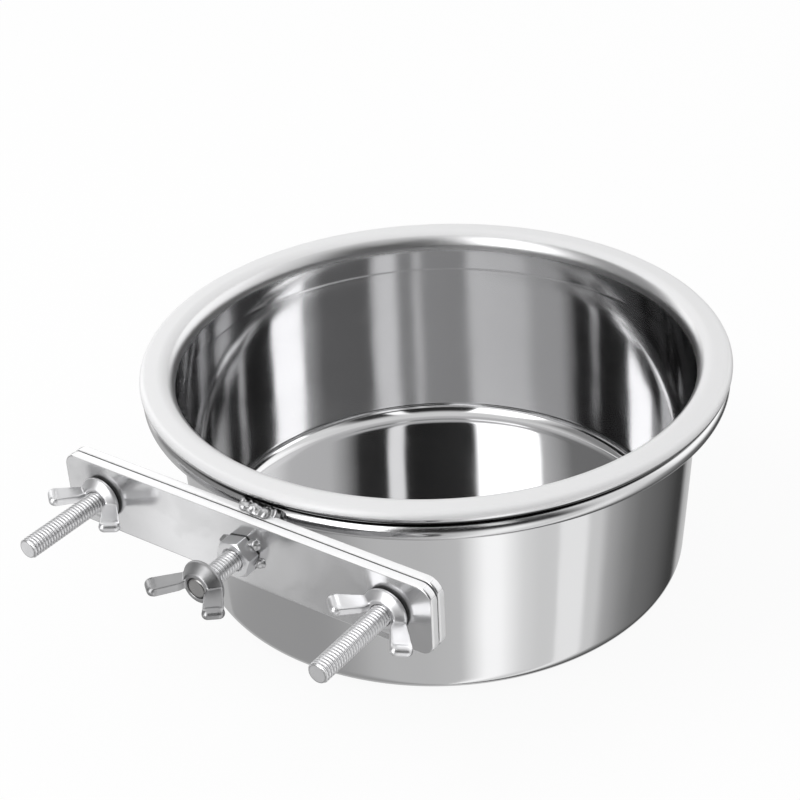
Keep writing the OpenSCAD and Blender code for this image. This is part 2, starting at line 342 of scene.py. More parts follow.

# %% [markdown]
# ### Waves, smears and painted shade
# Drawn sheet and cast metal are slightly wavy, which bends their mirror images. Smears are large soft
# patches where hands have dulled the shine. Painted shade in hollows is found by the pointiness of the mesh,
# which is 0.5 on a flat face and less in a hollow corner, and is broken up by a noise.

# %% Waves, smears and painted shade
wear_and_shade, wear_and_shade_in, wear_and_shade_out = new_group(
    "waves, smears and painted shade", {"Wave Size": 0.02, "Smear Size": 0.03}, ["Waves", "Smears", "Painted Shade"])
place = add(wear_and_shade, "TexCoord").outputs["Object"]
wave_scale = sums(wear_and_shade, "DIVIDE", 1.0, wear_and_shade_in["Wave Size"])
waves = add(wear_and_shade, "TexNoise", {"Vector": place, "Scale": wave_scale, "Detail": 1.0, "Roughness": 0.4})
smear_scale = sums(wear_and_shade, "DIVIDE", 1.0, wear_and_shade_in["Smear Size"])
smears = add(wear_and_shade, "TexNoise", {"Vector": place, "Scale": smear_scale, "Detail": 5.0, "Distortion": 0.6})
specks = add(wear_and_shade, "TexNoise", {"Vector": place, "Scale": 900.0, "Detail": 3.0})
pointiness = add(wear_and_shade, "NewGeometry").outputs["Pointiness"]
# Painted shade: hollow corners are made darker, broken up by a noise
in_hollow = fade(wear_and_shade, pointiness, 0.44, 0.49, 1.0, 0.0)
speckled = fade(wear_and_shade, specks.outputs["Fac"], 0.3, 0.65)
wear_and_shade.links.new(waves.outputs["Fac"], wear_and_shade_out["Waves"])
wear_and_shade.links.new(fade(wear_and_shade, smears.outputs["Fac"], 0.42, 0.68), wear_and_shade_out["Smears"])
wear_and_shade.links.new(overlap(wear_and_shade, in_hollow, speckled), wear_and_shade_out["Painted Shade"])
print("group:", wear_and_shade.name)

# %% [markdown]
# ### Radius, height and turn
# For anything that is turned or spun, the useful numbers are the distance from the axis, the height along
# it and the angle round it. This group works them out from the piece's own coordinates, whose Z is the axis.

# %% Radius, height and turn
turned, _, turned_out = new_group("turned", {}, ["Radius", "Height", "Turn"])
own = add(turned, "SeparateXYZ", {"Vector": add(turned, "TexCoord").outputs["Object"]}).outputs
flat_part = add(turned, "CombineXYZ", {"X": own["X"], "Y": own["Y"]}).outputs[0]
from_axis = add(turned, "VectorMath", {0: flat_part}, operation="LENGTH").outputs["Value"]
turned.links.new(from_axis, turned_out["Radius"])
turned.links.new(own["Z"], turned_out["Height"])
turned.links.new(sums(turned, "ARCTAN2", own["Y"], own["X"]), turned_out["Turn"])
print("group:", turned.name)

# %% [markdown]
# ## The metals
# All finishes are a Principled shader with Metallic at 1, and differ in colour, roughness and relief. A
# finely brushed surface scatters light to all sides and looks pale in any room. There the Metallic goes
# down and the colour up. A relief tilts the surface for the light, without moving a point of the mesh.

# %% Colours and helpers for metals
STEEL = (0.64, 0.64, 0.645, 1)
SATIN = (0.76, 0.76, 0.765, 1)
ZINC = (0.74, 0.74, 0.75, 1)
BRIGHT_ZINC = (0.84, 0.84, 0.85, 1)
CUT = (0.92, 0.92, 0.925, 1)
CAST = (0.50, 0.50, 0.505, 1)
WORN = (0.38, 0.38, 0.385, 1)
DULL = (0.24, 0.235, 0.23, 1)
# Black for painted shade
SHADE_BLACK = (0.02, 0.02, 0.02, 1)


def metal(name, colour, roughness):
    """A new material with a metallic shader in it. Returns the material, its tree and the shader."""
    made = bpy.data.materials.new(name)
    made.use_nodes = True
    tree = made.node_tree
    tree.nodes.clear()
    inputs = {"Metallic": 1.0, "Base Color": colour, "Roughness": roughness}
    shader = add(tree, "BsdfPrincipled", inputs)
    add(tree, "OutputMaterial", {"Surface": shader.outputs[0]})
    return made, tree, shader


def relief(tree, shader, heights):
    """Adds bumps to a shader, each one a (height socket, depth in millimetres) pair, the last on top."""
    normal = None
    for value, depth_mm in heights:
        inputs = {"Height": value, "Distance": depth_mm * MM, "Strength": 1.0}
        if normal:
            inputs["Normal"] = normal
        normal = add(tree, "Bump", inputs).outputs[0]
    tree.links.new(normal, shader.inputs["Normal"])


print("bare steel gives back", STEEL[0], "of the light")

# %% [markdown]
# ### The bowl's steel
# The inside and the outside wall are buffed to a mirror, and the flat of the rim is left satin, so it looks
# nearly white. The satin is told from the rest by its height and its radius. The bend between wall and rim
# is a softer mirror, because a buffing wheel hardly reaches into it.

# %% Bowl steel: mirror and satin
bead_radius = 2.1
bead_z = bowl_height - bead_radius
satin_from = 80.0
satin_metallic = 0.12
bend_inside = 82.0
buffed_roughness = 0.06
mark_roughness = 0.03
bend_roughness = 0.27
satin_roughness = 0.34

bowl_steel, tree, shader = metal("bowl_steel", STEEL, 0.08)
around = use(tree, turned)
marks = use(tree, polish, {
    "Along": around["Turn"], "Across": around["Radius"], "Depth": around["Height"], "Fineness": 2500.0})
aged_and_shaded = use(tree, wear_and_shade, {"Wave Size": 0.022, "Smear Size": 0.035})

on_top = fade_mm(tree, around["Height"], bead_z - 0.3, bead_z + 0.5)
past_bend = fade_mm(tree, around["Radius"], satin_from - 0.8, satin_from)
satin = overlap(tree, on_top, past_bend)
tree.links.new(fade(tree, satin, 0.0, 1.0, 1.0, satin_metallic), shader.inputs["Metallic"])

mirror_roughness = sums(tree, "MULTIPLY_ADD", aged_and_shaded["Smears"], mark_roughness, buffed_roughness)
mirror_roughness = sums(tree, "MULTIPLY_ADD", marks["Patches"], mark_roughness, mirror_roughness)
on_bend = fade_mm(tree, around["Height"], bowl_height - 6.8, bowl_height - 5.0)
inside = fade_mm(tree, around["Radius"], bend_inside - 1, bend_inside, 1.0, 0.0)
bend_share = overlap(tree, on_bend, inside)
mirror_roughness = sums(tree, "MULTIPLY_ADD", bend_share, bend_roughness, mirror_roughness)
rim_roughness = sums(tree, "MULTIPLY_ADD", marks["Lines"], 0.12, satin_roughness)
roughness = add(tree, "Mix", {"Factor": satin, 2: mirror_roughness, 3: rim_roughness}, data_type="FLOAT")
tree.links.new(roughness.outputs[0], shader.inputs["Roughness"])
rim_lines = overlap(tree, marks["Lines"], satin)
relief(tree, shader, [(aged_and_shaded["Waves"], 0.07), (rim_lines, 0.003)])
print("finish:", bowl_steel.name)

# %% [markdown]
# ### Painted shade on the bowl
# Hollows get painted shade. Where the rolled edge rests in the hoop, the line between them is painted nearly
# black as shade. It lies under the roll and outside the wall, so a height and a radius find it.

# %% Bowl steel: painted shade in hollows and on the dark line
past_wall = 83.8
shade_share = 0.5

clean = blend(tree, satin, STEEL, SATIN)
# Painted shade in the bowl's hollows
with_painted_shade = blend(tree, sums(tree, "MULTIPLY", aged_and_shaded["Painted Shade"], shade_share), clean, DULL)
# Painted shade: the gap under the rolled edge, where it rests in the hoop, is painted nearly black
under_bead = fade_mm(tree, around["Height"], bead_z - 0.9, bead_z - 0.3, 1.0, 0.0)
out_of_wall = fade_mm(tree, around["Radius"], past_wall - 0.6, past_wall)
painted_gap_shade = overlap(tree, under_bead, out_of_wall)
tree.links.new(blend(tree, painted_gap_shade, with_painted_shade, SHADE_BLACK), shader.inputs["Base Color"])
print("dark line under", round(bead_z - 0.3, 2), "mm of height")

# %% [markdown]
# ### Metals that are drawn, rolled, cast or welded
# These finishes differ only in their values, so one function makes them all, and another darkens the place
# that a mask names.

# %% Helpers for the smaller pieces
def turned_metal(name, colour, roughness, lines_depth, wave_size, wave_depth, shade_share=0.6):
    """A metal for pieces whose lines run round their own Z."""
    made, tree, shader = metal(name, colour, roughness)
    around = use(tree, turned)
    marks = use(tree, polish, {
        "Along": around["Turn"], "Across": around["Radius"], "Depth": around["Height"], "Fineness": 4000.0})
    aged_and_shaded = use(tree, wear_and_shade, {"Wave Size": wave_size, "Smear Size": wave_size * 2})
    base = sums(tree, "MULTIPLY_ADD", marks["Patches"], 0.10, roughness)
    tree.links.new(sums(tree, "MULTIPLY_ADD", aged_and_shaded["Smears"], 0.06, base), shader.inputs["Roughness"])
    # Painted shade in the hollows of each piece
    painted_shade = sums(tree, "MULTIPLY", aged_and_shaded["Painted Shade"], shade_share)
    tree.links.new(blend(tree, painted_shade, colour, DULL), shader.inputs["Base Color"])
    relief(tree, shader, [(aged_and_shaded["Waves"], wave_depth), (marks["Lines"], lines_depth)])
    return made, tree, around


def darkened(tree, mask, colour=SHADE_BLACK):
    """Blends a material's base colour to a darker one where the mask is 1."""
    socket = tree.nodes["Principled BSDF"].inputs["Base Color"]
    before = socket.links[0].from_socket
    tree.links.new(blend(tree, mask, before, colour), socket)


print("helpers for small pieces are ready")

# %% [markdown]
# ### The hoop's rod
# The hoop was drawn through a die and lightly polished. Its top, where the rolled edge rests, gets painted
# shade as dark as that edge.

# %% Rod steel
rod_radius = 2.75

rod_steel, tree, around = turned_metal("rod_steel", STEEL, 0.10, 0.0006, 0.012, 0.03)
# Painted shade on the rod's top, under the rolled edge
darkened(tree, fade_mm(tree, around["Height"], rod_radius - 0.85, rod_radius - 0.35))
print("finish:", rod_steel.name)

# %% [markdown]
# ### Plated threads
# Studs, screw and hexagon nut are plated and brighter than the bowl. A thread has painted shade in its
# roots, and a painted dark line of shadow at its seat parts it from the plate. The flat end of the screw is
# dull.

# %% Thread finishes
thread_radius = 2.95
thread_root = 2.4
end_radius = 2.55
screw_out = 22.0


def threaded_metal(name):
    """Plating with painted shade in the thread's roots and a painted shadow at the seat. Returns it, its tree
    and its numbers.
    """
    made, tree, around = turned_metal(name, BRIGHT_ZINC, 0.23, 0.002, 0.004, 0.02)
    # Painted shade in the thread's roots
    painted_root_shade = fade_mm(tree, around["Radius"], thread_root + 0.02, thread_radius - 0.2, 0.35, 0.0)
    off_end = fade_mm(tree, around["Radius"], end_radius - 0.35, end_radius - 0.2)
    darkened(tree, overlap(tree, painted_root_shade, off_end))
    # Painted shadow: a dark line at the seat
    from_seat = sums(tree, "ABSOLUTE", around["Height"])
    darkened(tree, fade_mm(tree, from_seat, 0.25, 0.5, 0.95, 0.0))
    return made, tree, around


fastener_steel = threaded_metal("fastener_steel")[0]
screw_steel, tree, around = threaded_metal("screw_steel")
darkened(tree, fade_mm(tree, around["Height"], screw_out - 0.8, screw_out - 0.2, 0.0, 0.85), DULL)
print("finishes:", fastener_steel.name, screw_steel.name)

# %% [markdown]
# ### Cast wings and welds
# The wings are cast, tumbled and plated, so they are softer mirrors without lines, with a painted shadow at
# the foot.
# The screw's wings are turned most and have lost their plating. Welds are left as they froze.

# %% Wing and weld finishes
wing_steel, tree, around = turned_metal("wing_steel", ZINC, 0.30, 0.0, 0.003, 0.05)
# Painted shadow at the foot of the boss
darkened(tree, fade_mm(tree, around["Height"], 0.5, 0.95, 0.95, 0.0))
worn_steel = turned_metal("worn_steel", WORN, 0.30, 0.0, 0.003, 0.05)[0]
# Welds take the painted shade in their hollows at full share
weld_metal = turned_metal("weld_metal", CAST, 0.28, 0.0, 0.0012, 0.04, shade_share=1.0)[0]
print("finishes:", wing_steel.name, worn_steel.name, weld_metal.name)

# %% [markdown]
# ### Plate steel
# The plates were cut from bright strip, so their lines run along X. Their colour has a painted highlight
# left of the middle and painted shade towards both ends, with smears over it. The cut edges are pale and
# scatter the light.

# %% Plate steel
plate_length = 124.0
plate_height = 21.0
painted_highlight_x = -18.0
most_painted_shade = 0.58
face_metallic = 0.92
edge_metallic = 0.1

plate_steel, tree, shader = metal("plate_steel", BRIGHT_ZINC, 0.15)
own = add(tree, "SeparateXYZ", {"Vector": add(tree, "TexCoord").outputs["Object"]}).outputs
along = sums(tree, "MULTIPLY", own["X"], 25.0)
marks = use(tree, polish, {"Along": along, "Across": own["Y"], "Depth": own["Z"], "Fineness": 3500.0})
aged_and_shaded = use(tree, wear_and_shade, {"Wave Size": 0.014, "Smear Size": 0.02})


def near_edge(socket, length):
    """1 within 0.3 mm of both ends of a length that is centred on 0."""
    from_middle = sums(tree, "ABSOLUTE", socket)
    return fade_mm(tree, from_middle, length / 2 - 0.5, length / 2 - 0.3)


on_edge = sums(tree, "MAXIMUM", near_edge(own["X"], plate_length), near_edge(own["Y"], plate_height))
tree.links.new(fade(tree, on_edge, 0.0, 1.0, face_metallic, edge_metallic), shader.inputs["Metallic"])
base = sums(tree, "MULTIPLY_ADD", marks["Patches"], 0.04, 0.15)
tree.links.new(sums(tree, "MULTIPLY_ADD", aged_and_shaded["Waves"], 0.06, base), shader.inputs["Roughness"])
# Painted light: a highlight left of the middle fades to painted shade towards both ends, with smears added
from_painted_highlight = sums(tree, "ABSOLUTE", sums(tree, "SUBTRACT", own["X"], painted_highlight_x * MM))
painted_shade_and_smears = fade_mm(tree, from_painted_highlight, 4, 26, 0.0, most_painted_shade)
painted_shade_and_smears = sums(tree, "ADD", painted_shade_and_smears, fade(tree, aged_and_shaded["Smears"], 0.0, 1.0, 0.0, 0.2))
face_colour = blend(tree, painted_shade_and_smears, BRIGHT_ZINC, CAST)
tree.links.new(blend(tree, on_edge, face_colour, CUT), shader.inputs["Base Color"])
relief(tree, shader, [(aged_and_shaded["Waves"], 0.13), (marks["Lines"], 0.0008)])
print("finish:", plate_steel.name)

# %% [markdown]
# ## Finished pieces
# Every piece ends in the same way. It gets its material, its place and smooth shading that stops at sharp
# corners. It is hung under an empty named for the body that it rides on, and the solid that it stands for is
# hidden.

# %% Helpers for pieces
def to_mesh(built, name):
    """Turns a bmesh into a mesh."""
    mesh = bpy.data.meshes.new(name)
    built.to_mesh(mesh)
    built.free()
    return mesh


def finished(name, mesh, place, material, body, nodes, sharp=35):
    """Makes the object for a finished mesh, hangs it under its body's empty and hides the solids that it
    stands for.
    """
    mesh.transform(Matrix.Scale(MM, 4))
    mesh.shade_smooth()
    mesh.set_sharp_from_angle(angle=math.radians(sharp))
    mesh.materials.clear()
    mesh.materials.append(material)
    piece = bpy.data.objects.new(name, mesh)
    scene.collection.objects.link(piece)
    piece.matrix_world = place
    flat_faces_first = piece.modifiers.new("even shading", "WEIGHTED_NORMAL")
    flat_faces_first.keep_sharp = True
    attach(piece, body)
    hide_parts(*nodes)
    print(name, "has", len(mesh.polygons), "faces")
    return piece


print("helpers for pieces are ready")

# %% [markdown]
# ## Turning on a lathe
# Bowl, hoop and heads are round. One helper gives points on an arc, and one spins an outline of radii and
# heights round Z.

# %% Helpers for turned work
CIRCLE = 2 * math.pi


def arc(centre, radius, start, end, steps):
    """Points on an arc in an outline, from one angle to another, in degrees."""
    turns = [math.radians(start + (end - start) * i / steps) for i in range(steps + 1)]
    return [(centre[0] + radius * math.cos(t), centre[1] + radius * math.sin(t)) for t in turns]


def lathe(outline, segments, closed=True):
    """Spins an outline of (radius, height) points round Z. A closed one joins its last point to its first."""
    spun = bmesh.new()
    turns = [CIRCLE * i / segments for i in range(segments)]
    rings = []
    for radius, z in outline:
        around_z = turns if radius > 0 else [0]
        rings.append([spun.verts.new((radius * math.cos(t), radius * math.sin(t), z)) for t in around_z])
    following = rings[1:] + rings[:1] if closed else rings[1:]
    for ring, other in zip(rings, following):
        if len(ring) == len(other) == 1:
            continue
        for i in range(segments):
            j = i + 1
            corners = [ring[i % len(ring)], ring[j % len(ring)], other[j % len(other)], other[i % len(other)]]
            spun.faces.new(dict.fromkeys(corners))
    bmesh.ops.recalc_face_normals(spun, faces=spun.faces)
    return spun


print("helpers for turned work are ready")

# %% [markdown]
# ## The bowl
# The real bowl starts as a flat disc, is drawn into a deep cup in one press stroke, and has its edge curled
# on a spinning lathe. So one outline of the sheet, spun round the axis, is its true shape. First comes the
# wall. It is nearly upright above the draw line, and below it the slope grows to the base.

# %% Sizes and slope of the bowl's wall
sheet = 0.8
tilt_above_line = 0.4
tilt_at_line = 2.1
tilt_at_base = 3.4
draw_z = bowl_height - 13
draw_radius = 78.6


def tilt_at(z):
    """Slope of the wall away from upright at a height, in degrees."""
    if z > draw_z:
        return tilt_above_line
    return tilt_at_base + (tilt_at_line - tilt_at_base) * z / draw_z


def wall_at(z):
    """Radius of the wall's outer side at a height."""
    mean_tilt = tilt_above_line if z > draw_z else (tilt_at(z) + tilt_at_line) / 2
    return draw_radius + (z - draw_z) * math.tan(math.radians(mean_tilt))


print("wall radius at the draw line", draw_radius, "and near the base", round(wall_at(8), 2))

# %% [markdown]
# ### Bends and steps of the sheet
# A bend is an arc that leaves the wall at the wall's own slope. The draw line is a soft step. The middle of
# the floor is flat, and a ring round it rises gently to the corner.

# %% Bends and steps
rim_bend = 4.2
base_bend = 6.0
draw_step = 0.02
draw_half = 0.8
floor_radius = 54.5
ring_tilt = 1.3
wall_from = 8
wall_spacing = 2


def smooth_step(share):
    """Goes from 0 to 1 with a level start and a level end."""
    return share * share * (3 - 2 * share)


def eased(start, end, steps):
    """Points of a soft step in the wall, upright at both ends."""
    shares = [i / steps for i in range(steps + 1)]
    widths = [start[0] + (end[0] - start[0]) * smooth_step(share) for share in shares]
    heights = [start[1] + (end[1] - start[1]) * share for share in shares]
    return list(zip(widths, heights))


bend_height = bowl_height - sheet - rim_bend
bend_tilt = tilt_at(bend_height)
bend_centre = (wall_at(bend_height) + rim_bend / math.cos(math.radians(bend_tilt)), bend_height)
corner_tilt = tilt_at(base_bend)
corner_radius = wall_at(base_bend) - base_bend / math.cos(math.radians(corner_tilt))
ring_rise = (corner_radius - floor_radius) * math.tan(math.radians(ring_tilt))
corner_centre = (corner_radius, base_bend + ring_rise)
step_low = (wall_at(draw_z - draw_half) - draw_step, draw_z - draw_half)
step_high = (wall_at(draw_z + draw_half), draw_z + draw_half)
wall = [(wall_at(z) - draw_step, z) for z in range(wall_from, round(draw_z - draw_half), wall_spacing)]
print("ring of the floor rises", round(ring_rise, 2), "mm")

# %% [markdown]
# ### The whole outline
# The outline runs along the underside from the middle, round the curl of the edge, and back along the upper
# side. It is open, because both its ends lie on the axis.

# %% Bowl
bowl_segments = 288
bead_centre = (85.9, bead_z)
curl_end = -198
hoop_radius = 84.8
hoop_out = 6.85
bowl_y = hoop_out + hoop_radius

underside = [(0, 0), (floor_radius, 0)]
underside += arc(corner_centre, base_bend, ring_tilt - 90, -corner_tilt, 16)
underside += wall + eased(step_low, step_high, 6)
underside += arc(bend_centre, rim_bend, 180 - bend_tilt, 90, 12)
curl = arc(bead_centre, bead_radius - sheet, 90, curl_end, 28)
curl += arc(bead_centre, bead_radius, curl_end, 90, 40)
upper_side = arc(bend_centre, rim_bend + sheet, 90, 180 - bend_tilt, 14)
upper_side += [(r - sheet, z) for r, z in eased(step_high, step_low, 6) + wall[::-1]]
upper_side += arc(corner_centre, base_bend - sheet, -corner_tilt, ring_tilt - 90, 16)
upper_side += [(floor_radius, sheet), (0, sheet)]
bowl_mesh = to_mesh(lathe(underside + curl + upper_side, bowl_segments, closed=False), "bowl")
bowl_place = Matrix.Translation(Vector((0, bowl_y, base_z)) * MM)
finished("drawn_bowl", bowl_mesh, bowl_place, bowl_steel, "bowl", ["bowl"])

# %% [markdown]
# ## The hoop
# A straight rod is bent round a drum, and its ends meet behind the plate, under the weld. It is a circle
# spun at the hoop's radius, fine enough that its edge highlight runs without corners.

# %% Hoop
rod_corners = 36
hoop_segments = 256
hoop_z = 8.8

last_corner = 360 - 360 / rod_corners
rod_outline = arc((hoop_radius, 0), rod_radius, 0, last_corner, rod_corners - 1)
hoop_mesh = to_mesh(lathe(rod_outline, hoop_segments), "hoop")
hoop_place = Matrix.Translation(Vector((0, bowl_y, hoop_z)) * MM)
finished("wire_hoop", hoop_mesh, hoop_place, rod_steel, "holder", ["hoop"])

# %% [markdown]
# ## Cutting holes
# Holes are drilled. Here too there is a tool, a closed solid that a Boolean modifier takes out of the
# blank. The tools are thrown away afterwards.

# %% Helpers for drilled work
def on_bench(name, mesh):
    """Puts a mesh into the scene, where modifiers can work on it."""
    blank = bpy.data.objects.new(name, mesh)
    scene.collection.objects.link(blank)
    return blank


def off_bench(blank, *helpers):
    """The mesh that the modifiers of an object give. The object and its helpers are thrown away."""
    shaped = blank.evaluated_get(bpy.context.evaluated_depsgraph_get())
    result = bpy.data.meshes.new_from_object(shaped)
    for used in [blank, *helpers]:
        bpy.data.objects.remove(used)
    return result


def cut_away(mesh, *tools):
    """A closed mesh less the tools, which are closed solids in the same place."""
    blank = on_bench("blank", mesh)
    helpers = [on_bench("tool", to_mesh(tool, "tool")) for tool in tools]
    for helper in helpers:
        cutter = blank.modifiers.new("cut", "BOOLEAN")
        cutter.operation = "DIFFERENCE"
        cutter.solver = "EXACT"
        cutter.object = helper
    return off_bench(blank, *helpers)


def rod_tool(radius, low, high, x):
    """A plain rod for cutting a hole at a place along X."""
    tool = lathe([(0, low), (radius, low), (radius, high), (0, high)], 48, closed=False)
    bmesh.ops.translate(tool, verts=tool.verts, vec=(x, 0, 0))
    return tool


print("helpers for holes are ready")

# %% [markdown]
# ## The two plates
# Both plates are cut from the same strip, with round corners and eased edges that don't cut the hand. Each
# starts as a rounded outline that is raised to its thickness and bevelled. The holes are cut last.

# %% Blank of a plate
plate_thick = 2.7
plate_corner = 4.5
corner_steps = 10
arris = 0.6


def raised(points, move):
    """A solid that reaches from a flat outline of points to the same outline moved along."""
    solid = bmesh.new()
    start = solid.faces.new([solid.verts.new(point) for point in points])
    added = bmesh.ops.extrude_face_region(solid, geom=[start])["geom"]
    far_side = [v for v in added if isinstance(v, bmesh.types.BMVert)]
    bmesh.ops.translate(solid, verts=far_side, vec=move)
    bmesh.ops.recalc_face_normals(solid, faces=solid.faces)
    return solid


def strip_blank():
    """One plate without holes, lying on its own X and Y."""
    half_x = plate_length / 2 - plate_corner
    half_y = plate_height / 2 - plate_corner
    outline = []
    for quarter, (x, y) in enumerate([(1, 1), (-1, 1), (-1, -1), (1, -1)]):
        start = 90 * quarter
        outline += arc((x * half_x, y * half_y), plate_corner, start, start + 90, corner_steps)
    blank = raised([(x, y, 0) for x, y in outline], (0, 0, plate_thick))
    rims = [e for e in blank.edges if abs(e.verts[0].co.z - e.verts[1].co.z) < plate_thick / 2]
    bmesh.ops.bevel(blank, geom=rims, offset=arris, segments=4, profile=0.5, affect="EDGES")
    return blank


print("blank of", plate_length, "x", plate_height, "x", plate_thick, "mm")

# %% [markdown]
# ### Placing the plates
# Everything in the clamp is built upright on its own Z axis and then laid down, so that its X stays X and its
# Z points out of the clamp, along -Y. Distances count from the jaw face of the inner plate. That plate holds
# its studs tightly. The outer plate slides on them, so its holes are wider.

# %% Plates
jaw_gap = 0.4
stud_x = 48.5
screw_x = 1.8
stud_hole = thread_radius + 0.12
plain_hole = 3.3
plate_face = jaw_gap + plate_thick


def from_jaw(x, out):
    """Where a part's base goes, in millimetres along the plates and out from the jaw face."""
    return Matrix.Translation(Vector((x, -out, 0)) * MM) @ Matrix.Rotation(math.pi / 2, 4, "X")


def plate(name, face, holes, body, node):
    """A plate whose outer face is this far out, with holes at (x, radius) pairs."""
    tools = [rod_tool(radius, -1, plate_thick + 1, x) for x, radius in holes]
    mesh = cut_away(to_mesh(strip_blank(), name), *tools)
    return finished(name, mesh, from_jaw(0, face - plate_thick), plate_steel, body, [node])


plate("hoop_plate", 0, [(-stud_x, stud_hole), (stud_x, stud_hole)], "holder", "inner_plate")
outer_holes = [(-stud_x, plain_hole), (screw_x, plain_hole), (stud_x, plain_hole)]
plate("front_plate", plate_face, outer_holes, "clamp_plate", "outer_plate")

# %% [markdown]
# ## Threads
# Threads are rolled: dies press a groove into a bar and the metal swells into ridges between. The surface
# is a cylinder whose radius depends on the height minus the angle, which makes one long helix. Ten rows to a
# turn show flank, crest and root. The outer end narrows, as a real lead-in does.

# %% Threaded rods
pitch = 1.0
rows_per_turn = 10
around_thread = 40
root_share = 0.15
flank_share = 0.62
lead_in = 0.8
lead_in_slope = 0.9


def thread_radius_at(phase):
    """Radius at a place in one turn of the helix, from 0 to 1. It has a flat root and a flat crest."""
    climb = 1 - abs(2 * phase - 1)
    share = min(1, max(0, (climb - root_share) / flank_share))
    return thread_root + (thread_radius - thread_root) * smooth_step(share)


def threaded_rod(start, length, plain=0.0):
    """A rod from start to start + length. It is plain at first, and its outer end is chamfered."""
    rod = bmesh.new()
    rows = round(length / pitch * rows_per_turn)
    rings = []
    for row in range(rows + 1):
        along = length * row / rows
        left = length - along
        limit = end_radius + left * lead_in_slope if left < lead_in else thread_radius
        runout = min(1, max(0, (along - plain) / pitch)) if plain else 1
        ring = []
        for i in range(around_thread):
            phase = (along / pitch - i / around_thread) % 1
            threaded = thread_radius_at(phase)
            radius = min(limit, thread_radius + (threaded - thread_radius) * runout)
            angle = CIRCLE * i / around_thread
            ring.append(rod.verts.new((radius * math.cos(angle), radius * math.sin(angle), start + along)))
        rings.append(ring)
    for ring, other in zip(rings, rings[1:]):
        for i in range(around_thread):
            j = (i + 1) % around_thread
            rod.faces.new([ring[i], ring[j], other[j], other[i]])
    rod.faces.new(rings[-1])
    rod.faces.new(list(reversed(rings[0])))
    return rod


print("thread of", 2 * thread_radius, "mm with a pitch of", pitch, "mm")

# %% [markdown]
# ### Studs
# Each stud is a round-headed screw pushed through the inner plate from the bowl side and welded there. Its
# head is turned: a short straight edge and a low dome. Head and rod are joined in one mesh.

# %% Studs
stud_length = 32.5
head_radius = 6.0
head_height = 2.6
head_edge = 1.0
dome_height = head_height - head_edge
dome_radius = (head_radius ** 2 + dome_height ** 2) / (2 * dome_height)
dome_half_angle = math.degrees(math.asin(head_radius / dome_radius))


def lay_in(target, added, place=Matrix()):
    """Adds a bmesh to another one at a place, and frees it."""
    added.transform(place)
    carrier = to_mesh(added, "carrier")
    target.from_mesh(carrier)
    bpy.data.meshes.remove(carrier)


def stud(name, x, node):
    """A threaded stud with its head behind the inner plate."""
    rod = threaded_rod(-plate_thick, stud_length + plate_thick, plate_thick + jaw_gap / 2)
    dome_z = -plate_thick - head_height + dome_radius
    dome = arc((0, dome_z), dome_radius, -90, -90 + dome_half_angle, 10)
    outline = [(0, dome[0][1])] + dome[1:] + [(head_radius, -plate_thick), (0, -plate_thick)]
    lay_in(rod, lathe(outline, 64, closed=False))
    mesh = to_mesh(rod, name)
    return finished(name, mesh, from_jaw(x, 0), fastener_steel, "holder", [node], sharp=40)


stud("stud_left", -stud_x, "left_stud")
stud("stud_right", stud_x, "right_stud")

# %% [markdown]
# ### Clamp screw
# The clamp screw is the same thread, cut to length, and its tip faces the inner plate.

# %% Clamp screw
screw_tip_gap = 0.8
screw_mesh = to_mesh(threaded_rod(screw_tip_gap, screw_out - screw_tip_gap), "screw")
finished("clamp_screw", screw_mesh, from_jaw(screw_x, 0), screw_steel, "screw_rod",
    ["screw_rod"], sharp=40)

# %% [markdown]
# ## Cast wings
# A wing nut is cast in one piece, so a boss, two wings and their thick tips flow into each other. They are
# first laid over each other as simple closed solids. A voxel remesh fuses them into one skin, and a few
# rounds of smoothing melt the joints, as a mould's rounded corners do. The bore is cut last and stays crisp.

# %% Helpers for cast metal
def fused(mesh, voxel, rounds):
    """One skin round all the solids in a mesh, smoothed a number of times."""
    blank = on_bench("blank", mesh)
    skin = blank.modifiers.new("skin", "REMESH")
    skin.mode = "VOXEL"
    skin.voxel_size = voxel
    melt = blank.modifiers.new("melt", "SMOOTH")
    melt.factor = 0.5
    melt.iterations = rounds
    return off_bench(blank)


def slab(outline, thickness):
    """A flat solid: an outline in X and Z, raised evenly to both sides along Y."""
    return raised([(x, -thickness / 2, z) for x, z in outline], (0, thickness, 0))


def bore_tool(radius, top, flare):
    """A tool for a bore that opens in a small cone at the top."""
    mouth = radius + flare
    outline = [(0, -2), (radius, -2), (radius, top - flare), (mouth, top), (mouth, top + 4), (0, top + 4)]
    return lathe(outline, 64, closed=False)


print("helpers for cast metal are ready")

# %% [markdown]
# ### A boss with two wings
# The boss is a low cone on a short foot. A wing is a slab that leans outwards, and a small rounded bar, a
# little thicker than the wing, lies across its end for the thumb.

# %% Boss and wings
boss_radius = 6.6
boss_end_radius = 4.3
foot_in = 1.2
foot_height = 0.9
waist_height = 1.6
wing_reach = 10.4
wing_rise = 5.6
wing_thick = 2.5
tip_width = 6.0
tip_thick = 3.1
tip_tuck = 0.25
nut_bore = 3.0
bore_flare = 0.2
cast_voxel = 0.2
cast_rounds = 12


def wing_outline(height, lean):
    """Outline of the right wing, from inside the boss to the middle of its tip."""
    reach = tip_width / 2 - tip_tuck
    tip_x, tip_z = wing_reach, height + wing_rise
    across_x, across_z = math.sin(lean) * reach, -math.cos(lean) * reach
    return [
        (boss_end_radius - 1.5, foot_height), (boss_radius - 0.5, foot_height), (boss_radius, waist_height),
        (tip_x + across_x, tip_z + across_z), (tip_x - across_x, tip_z - across_z),
        (boss_end_radius, height + waist_height + 0.4), (boss_end_radius - 0.7, height - 0.02)]


